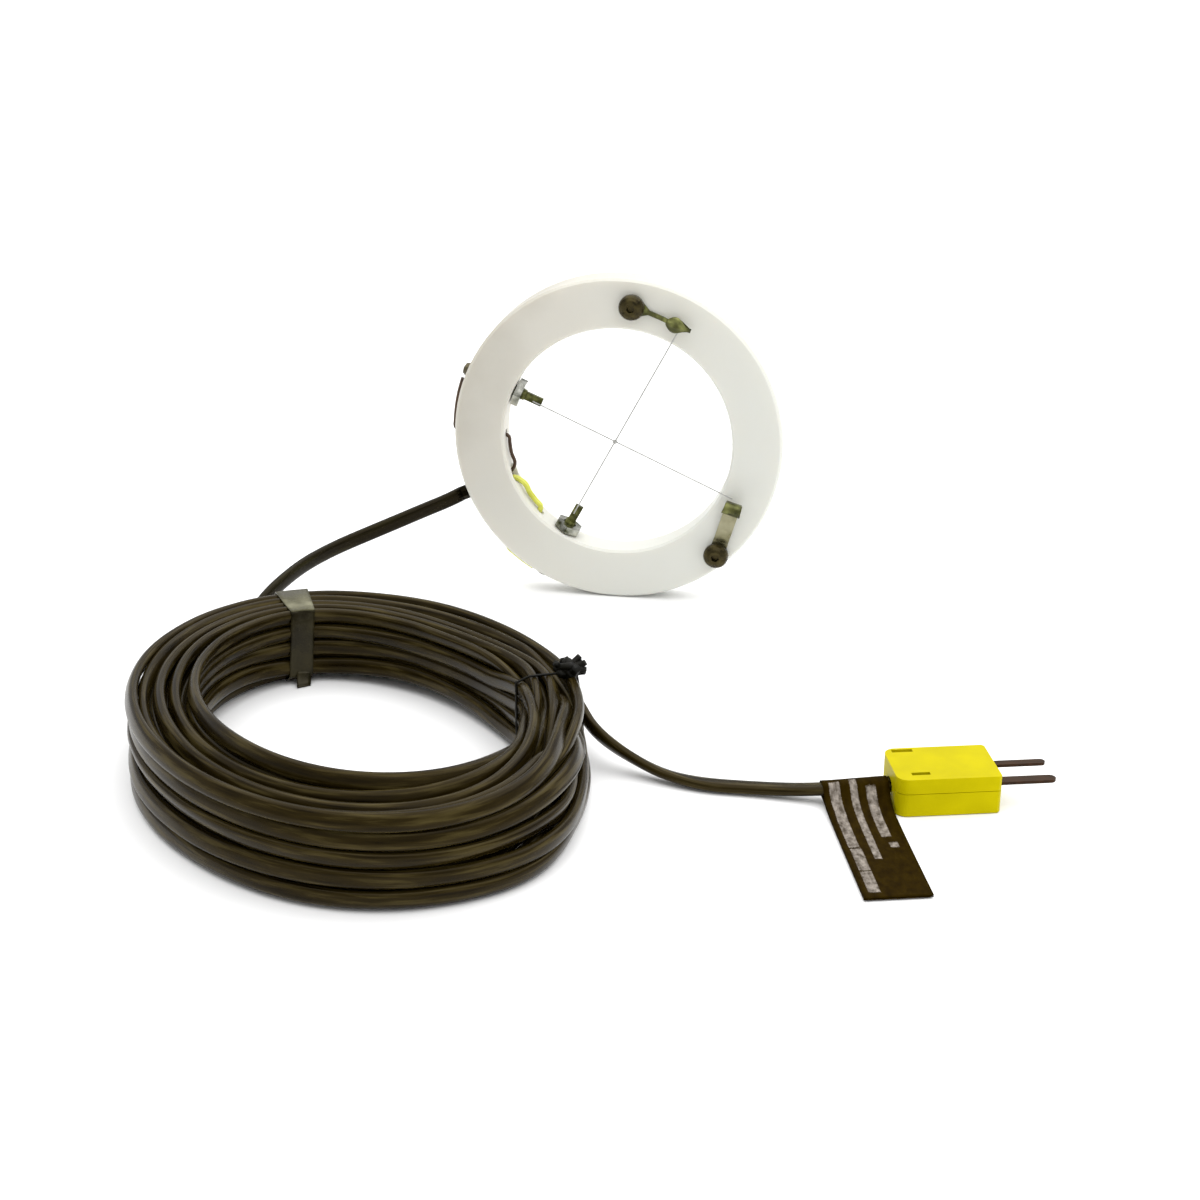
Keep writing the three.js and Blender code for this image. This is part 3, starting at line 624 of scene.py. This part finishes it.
def round_tube(name, line, radius, mat, sides=8):
    """A round tube along a line in mm, with closed ends."""
    ahead = directions(line)
    side = np.cross(ahead[0], (0.31, 0.52, 0.79))
    verts = []
    for point, way in zip(line, ahead):
        side = side - way * (side @ way)
        side /= np.linalg.norm(side)
        other = np.cross(way, side)
        for j in range(sides):
            turn = 2 * math.pi * j / sides
            verts.append(point + radius * (math.cos(turn) * side + math.sin(turn) * other))
    return mesh_object(name, metres(verts), tube_faces(len(line), sides), mat)


def wire_tie(place, turn, mat):
    """Plastic-covered wire: one round about the bundle and a ragged twist on top of it."""
    rng = np.random.default_rng(11)
    loop = round_the_coil(bundle_outline(place, turn, TIE_AT, 0.35), TIE_AT)
    closed = np.vstack([loop, loop[:1]])
    pieces = [round_tube("wire_tie_round", catmull(closed, 3), TIE_WIRE_R, mat)]
    outline = bundle_outline(place, turn, TIE_AT, 0.5)
    top = outline[np.argmax(outline[:, 1] - 0.9 * outline[:, 0])]
    x, y = oval(math.radians(TIE_AT), top[0] + 1.6)
    knot = np.array([x, y, top[1] + 0.9])
    for number in range(TIE_TWISTS):
        heading = rng.uniform(0, 2 * math.pi)
        reach = np.array([3.6 * math.cos(heading), 2.8 * math.sin(heading), rng.uniform(-1.2, 2.2)])
        bend = rng.normal(0, 0.9, 3)
        points = [knot - 0.7 * reach, knot + bend, knot + 0.5 * reach - 0.4 * bend, knot + reach]
        points = [(px, py, max(pz, top[1] - 2.2)) for px, py, pz in points]
        radius = rng.uniform(0.7, 1.15)
        pieces.append(round_tube(f"wire_tie_twist_{number + 1}", catmull(points, 6), radius, mat))
    for piece in pieces:
        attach(piece, "probe")
    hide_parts("coil_wire_tie")
    return pieces


# ---------------------------------------------------------------- label
def label_fold(cable_s, cable_z):
    """The film's section, as (s, z): from the floor, round the cable at (cable_s, cable_z) and back."""
    reach = LABEL["reach"]
    path = [(reach, 0.3), (0.6 * reach, 0.32), (12, 0.45), (6, 0.7)]
    path.append((cable_s + 2.6, max(0.9, cable_z - 1.6)))
    for degrees in range(-100, -281, -20):
        turn = math.radians(degrees)
        path.append((cable_s + 2.35 * math.cos(turn), cable_z + 1.6 * math.sin(turn)))
    for degrees in (60, 40, 22):
        turn = math.radians(degrees)
        path.append((cable_s + 2.4 * math.cos(turn), cable_z + 1.65 * math.sin(turn)))
    path.append((cable_s + 4.2, 0.62 * cable_z + 0.3))
    path += [(7.5, 1.45), (12, 0.95), (0.6 * reach, 0.72), (reach, 0.65)]
    fine = evenly(catmull(path, 5), 0.6)
    return np.array([fine[int(round(k))] for k in np.linspace(0, len(fine) - 1, LABEL_ROWS)])


def flag_label(line, mat):
    """Film folded round the cable: a tight roll, then two layers sloping to the floor towards the camera."""
    yaw = math.radians(LABEL["yaw"])
    local = line[-40:] - (LABEL["x"], LABEL["y"], 0)
    along = local[:, 0] * math.cos(yaw) + local[:, 1] * math.sin(yaw)
    across = local[:, 0] * math.sin(yaw) - local[:, 1] * math.cos(yaw)
    order = np.argsort(along)
    verts, uvs = [], []
    for share in np.arange(LABEL_COLUMNS) / (LABEL_COLUMNS - 1):
        u = LABEL["width"] * (share - 0.5)
        cable_s = np.interp(u, along[order], across[order])
        cable_z = np.interp(u, along[order], local[order, 2])
        fold = label_fold(cable_s, cable_z)
        front = distances(fold)
        for (s, z), place in zip(fold, front):
            x = LABEL["x"] + u * math.cos(yaw) + s * math.sin(yaw)
            y = LABEL["y"] + u * math.sin(yaw) - s * math.cos(yaw)
            verts.append((x, y, max(z, 0.15)))
            uvs.append((share, (place - front[-1] + LABEL["reach"]) / LABEL["reach"]))
    faces = [(a, d, c, b) for a, b, c, d in grid_faces(LABEL_COLUMNS, LABEL_ROWS)]
    piece = mesh_object("label", metres(verts), faces, mat, uvs=uvs)
    thicken(piece, 0.16, 0.0)
    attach(piece, "probe")
    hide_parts("flag_label")
    return piece


# ---------------------------------------------------------------- folded tips of the springs
def beside_spring(spring, u, v, w):
    """A place in mm: u along the spring from its screw, v across it and w out from the ring's face."""
    angle, heading = math.radians(spring["angle"]), math.radians(spring["heading"])
    along = np.array((math.cos(heading), 0, math.sin(heading)))
    out = np.array((0, -1.0, 0))
    screw = np.array((RING_X + spring["radius"] * math.cos(angle), -RING_HALF_W,
                      RING_R + spring["radius"] * math.sin(angle)))
    return screw + u * along + v * np.cross(out, along) + w * out


def folded_sheet(name, spring, rows, mat, thickness):
    """A thin sheet from rows of (u, v, w) places beside a spring."""
    verts = [beside_spring(spring, *place) for row in rows for place in row]
    piece = mesh_object(name, metres(verts), grid_faces(len(rows), len(rows[0])), mat)
    thicken(piece, thickness, 1.0)
    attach(piece, "probe")
    return piece


def top_leaf(mat):
    """The top spring's leaf, folded along its middle."""
    rows = []
    for share in np.linspace(0, 1, 13):
        u = SPRING_TOP["length"] - 6.4 + 6.7 * share
        half = 0.55 + 1.75 * math.sin(math.pi * min(1, share / 0.8) ** 0.9) * (1 - share) ** 0.25
        ridge = 3.35 + 0.9 * math.sin(math.pi * share)
        rows.append([(u, half * v, ridge - 0.55 * abs(v) ** 0.8 * half) for v in np.linspace(-1, 1, 9)])
    folded_sheet("top_spring_leaf", SPRING_TOP, rows, mat, 0.3)


def right_lip(mat):
    """The right spring's lip, turned up and back at its end."""
    radius = 1.35
    rows = []
    for share in np.linspace(0, 1, 11):
        turn = math.radians(-90 + 235 * share)
        u = SPRING_RIGHT["length"] - 1.3 + radius * math.cos(turn)
        w = 4.75 + radius * math.sin(turn)
        half = 2.0 + 0.5 * share
        rows.append([(u, half * v, w + 0.15 * v * v) for v in np.linspace(-1, 1, 7)])
    folded_sheet("right_spring_lip", SPRING_RIGHT, rows, mat, 0.35)


# ---------------------------------------------------------------- floor and light
def floor():
    """A pale floor, just under the part."""
    mat = mottled("pale_floor", [(0.93, 0.93, 0.93), (0.95, 0.95, 0.95)], (0.85, 0.9), 4.0)
    corners = [(-1, -1), (1, -1), (1, 1), (-1, 1)]
    verts = [(FLOOR_HALF * x, FLOOR_HALF * y, -0.0002) for x, y in corners]
    mesh_object("floor", verts, [(0, 1, 2, 3)], mat)


def light():
    """A broad soft light from above and a white sky."""
    world = bpy.data.worlds.new("studio")
    world.use_nodes = True
    background = world.node_tree.nodes["Background"]
    set_in(background, "Color", (1, 1, 1, 1))
    set_in(background, "Strength", SKY_STRENGTH)
    bpy.context.scene.world = world
    data = bpy.data.lights.new("softbox_sky", "SUN")
    data.energy = SUN_STRENGTH
    data.angle = math.radians(SUN_WIDTH)
    lamp = bpy.data.objects.new("softbox_sky", data)
    lamp.rotation_euler = Vector(SUN_WAY).to_track_quat("-Z", "Y").to_euler()
    bpy.context.scene.collection.objects.link(lamp)
    bpy.context.scene.view_settings.view_transform = "Standard"


# ---------------------------------------------------------------- materials
def ring_plastic():
    """Milky plastic with painted shade: a little darker and warmer towards the ring's left side, where less
    light falls.
    """
    mat, tree, shader = new_material(
        "ring_plastic", (0.6, 0.58, 0.52), 0.45, Subsurface_Weight=0.3, Subsurface_Radius=(1, 0.9, 0.75),
        Subsurface_Scale=0.004)
    # painted shade: the colour ramps from darker and warmer at the ring's upper left to lighter at its lower
    # right, standing in for light falling from the right
    lean = combine(tree, "MULTIPLY", coordinate(tree, "Object", "Z"), 0.5)
    across = combine(tree, "SUBTRACT", coordinate(tree, "Object", "X"), lean)
    cloud = combine(tree, "MULTIPLY", noise(tree, 45.0, 4.0), 0.03)
    factor = combine(tree, "ADD", across, cloud)
    painted_shade_place = combine(tree, "ADD", combine(tree, "MULTIPLY", factor, 10.0), 0.7)
    color = ramp(tree, painted_shade_place, [
        (0.1, (0.46, 0.435, 0.37)), (0.3, (0.62, 0.60, 0.535)), (0.6, (0.655, 0.65, 0.59)),
        (0.95, (0.665, 0.67, 0.62))])
    tree.links.new(color, shader.inputs["Base Color"])
    tree.links.new(spread(tree, noise(tree, 60.0), 0.42, 0.52), shader.inputs["Roughness"])
    bump(tree, shader, noise(tree, 900, 5.0), 0.06, 0.0002)
    return mat


def cable_jacket():
    """Dark brown plastic, streaked along the cable, darkest by the ring and paler by the connector."""
    mat = mottled(
        "cable_jacket", [(0.003, 0.0016, 0.0002), (0.015, 0.0098, 0.0016), (0.054, 0.041, 0.013)],
        (0.2, 0.32), 7.0, stretch=(1.5, 9, 1), space="UV", grain=(2500, 0.1, 0.0001),
        Specular_IOR_Level=0.14, Specular_Tint=(1.0, 0.82, 0.5, 1))
    tree = mat.node_tree
    color = tree.nodes["Principled BSDF"].inputs["Base Color"]
    streaks = color.links[0].from_socket
    share = combine(tree, "DIVIDE", coordinate(tree, "UV", "Y"), CABLE_LENGTH)
    tint = ramp(tree, share, [
        (0.0, (0.12, 0.13, 0.1)), (0.012, (0.3, 0.36, 0.2)), (0.022, (1, 1, 1)), (0.985, (1, 1, 1)),
        (0.993, (1.6, 1.7, 1.5))])
    tree.links.new(mixed(tree, 1.0, streaks, tint, "MULTIPLY"), color)
    return mat


def tie_tape():
    """Shiny creased tape with painted light and shade: painted pale on top of the coil where the light falls,
    and painted nearly black as shade where it runs down inside.
    """
    mat, tree, shader = new_material(
        "tie_tape", (0.05, 0.045, 0.02), 0.25, Specular_IOR_Level=0.22, Specular_Tint=(1, 0.92, 0.7, 1))
    cloud = noise(tree, 110, 4.0)
    place = combine(tree, "ADD", coordinate(tree, "UV", "X"), combine(tree, "MULTIPLY", cloud, 0.05))
    # painted light and shade: round the band the top is mixed towards the pale colour as if lit, and the rest
    # and the free end towards the nearly black colour as painted shade
    painted_lit_share = ramp(tree, place, [
        (0.33, (0, 0, 0)), (0.42, (1, 1, 1)), (0.57, (0.8, 0.8, 0.8)), (0.7, (0.1, 0.1, 0.1))])
    # the painted shade colour, then the painted lit colour, each mottled by the noise
    dark = ramp(tree, cloud, [(0.35, (0.004, 0.003, 0.001)), (0.7, (0.030, 0.025, 0.010))])
    pale = ramp(tree, cloud, [
        (0.3, (0.030, 0.026, 0.010)), (0.5, (0.10, 0.095, 0.05)), (0.66, (0.27, 0.26, 0.17))])
    tree.links.new(mixed(tree, painted_lit_share, dark, pale), shader.inputs["Base Color"])
    tree.links.new(spread(tree, cloud, 0.2, 0.36), shader.inputs["Roughness"])
    bump(tree, shader, noise(tree, 500, 5.0), 0.35, 0.0003)
    return mat


def label_film():
    """Very dark film with worn silver-grey bars running along it."""
    mat, tree, shader = new_material(
        "label_film", (0.020, 0.012, 0.002), 0.42, Specular_IOR_Level=0.01, Specular_Tint=(1, 0.8, 0.4, 1))
    edge = noise(tree, 9.0, 4.0, (9, 26, 1), "UV")
    ragged = combine(tree, "MULTIPLY", combine(tree, "SUBTRACT", edge, 0.5), 0.05)
    across = combine(tree, "ADD", coordinate(tree, "UV", "X"), ragged)
    along = combine(tree, "ADD", coordinate(tree, "UV", "Y"), ragged)
    mask = None
    for left, right, start, stop in LABEL_BARS:
        within = between(tree, across, left, right)
        bar = combine(tree, "MULTIPLY", within, between(tree, along, start, stop))
        mask = bar if mask is None else combine(tree, "MAXIMUM", mask, bar)
    wear = spread(tree, noise(tree, 5.0, 6.0, (8, 16, 1), "UV"), 0.6, 1.0)
    mask = combine(tree, "MULTIPLY", mask, wear)
    silver = ramp(tree, noise(tree, 2.4, 5.0, (5, 9, 1), "UV"), [
        (0.34, (0.09, 0.075, 0.06)), (0.66, (0.36, 0.32, 0.28))])
    film = ramp(tree, noise(tree, 3.0, 4.0, (3, 5, 1), "UV"), [
        (0.3, (0.012, 0.0062, 0.0004)), (0.7, (0.025, 0.0145, 0.0008))])
    tree.links.new(mixed(tree, mask, film, silver), shader.inputs["Base Color"])
    tree.links.new(combine(tree, "MULTIPLY", wear, 0.6), shader.inputs["Roughness"])
    return mat


def make_materials():
    """Every material, by its name."""
    made = {}
    made["cable_jacket"] = cable_jacket()
    made["ring_plastic"] = ring_plastic()
    made["brass"] = mottled(
        "brass", [(0.020, 0.022, 0.002), (0.060, 0.062, 0.010), (0.20, 0.21, 0.06)], (0.24, 0.42), 380, 0.5,
        grain=(1600, 0.25, 0.0001))
    made["spring_brass"] = mottled(
        "spring_brass", [(0.13, 0.12, 0.055), (0.40, 0.38, 0.26)], (0.25, 0.4), 160, 0.85,
        grain=(2200, 0.1, 0.0001))
    made["dark_brass"] = mottled(
        "dark_brass", [(0.015, 0.011, 0.003), (0.068, 0.053, 0.015)], (0.22, 0.42), 420, 0.8,
        grain=(1500, 0.25, 0.0001))
    made["nickel"] = mottled(
        "nickel", [(0.05, 0.055, 0.025), (0.66, 0.66, 0.60)], (0.12, 0.28), 300, 1.0,
        grain=(2500, 0.1, 0.0001))
    made["thermoelement_wire"] = mottled(
        "thermoelement_wire", [(0.34, 0.34, 0.32), (0.46, 0.46, 0.44)], (0.4, 0.5), 500, 0.3)
    made["solder"] = mottled(
        "solder", [(0.03, 0.026, 0.012), (0.14, 0.12, 0.07)], (0.3, 0.5), 500, 0.8, grain=(1200, 0.4, 0.0002))
    made["brown_insulation"] = mottled(
        "brown_insulation", [(0.040, 0.018, 0.006), (0.075, 0.036, 0.012)], (0.35, 0.5), 250)
    made["yellow_insulation"] = mottled(
        "yellow_insulation", [(0.52, 0.52, 0.05), (0.72, 0.74, 0.12)], (0.35, 0.5), 250)
    made["tie_tape"] = tie_tape()
    made["tie_black"] = mottled(
        "tie_black", [(0.002, 0.002, 0.001), (0.007, 0.006, 0.003)], (0.4, 0.6), 400,
        grain=(900, 0.5, 0.0004), Specular_IOR_Level=0.15)
    made["label_film"] = label_film()
    made["connector_yellow"] = mottled(
        "connector_yellow", [(0.45, 0.385, 0.001), (0.53, 0.455, 0.0015)], (0.36, 0.46), 120,
        grain=(1600, 0.08, 0.0001), Specular_IOR_Level=0.06, Specular_Tint=(1, 0.9, 0.1, 1))
    made["pin_alloy"] = mottled(
        "pin_alloy", [(0.009, 0.004, 0.002), (0.045, 0.019, 0.008)], (0.35, 0.5), 260, 0.2, stretch=(1, 6, 6),
        Specular_IOR_Level=0.2, Specular_Tint=(1, 0.8, 0.6, 1))
    return made


def dress_frame(made):
    """Gives every CAD node its material and shades its round faces smooth, and softens the edges of the nodes
    in SOFT_EDGES.
    """
    slots = {s["node"]: s["material_slot"] for s in frame["record"]["subparts"]}
    slots["right_tension_spring"] = "spring_brass"
    for name, node in frame["nodes"].items():
        node.data.materials.clear()
        node.data.materials.append(made[slots[name]])
        node.data.polygons.foreach_set("use_smooth", [True] * len(node.data.polygons))
        node.data.set_sharp_from_angle(angle=math.radians(32))
        if name in SOFT_EDGES:
            soften = node.modifiers.new("soft_edges", "BEVEL")
            soften.width = SOFT_EDGES[name] * 0.001
            soften.segments = 3
            soften.limit_method = "ANGLE"
            soften.angle_limit = math.radians(40)
            soften.harden_normals = True


# ---------------------------------------------------------------- assembly
camera()
materials = make_materials()
cord, cord_line, cord_length, coil_place, coil_turn = cable(materials["cable_jacket"])
tape_band, tape_tail = tape_tie(coil_place, coil_turn, materials["tie_tape"])
twists = wire_tie(coil_place, coil_turn, materials["tie_black"])
label = flag_label(cord_line, materials["label_film"])
top_leaf(materials["brass"])
right_lip(materials["brass"])
dress_frame(materials)
floor()
light()
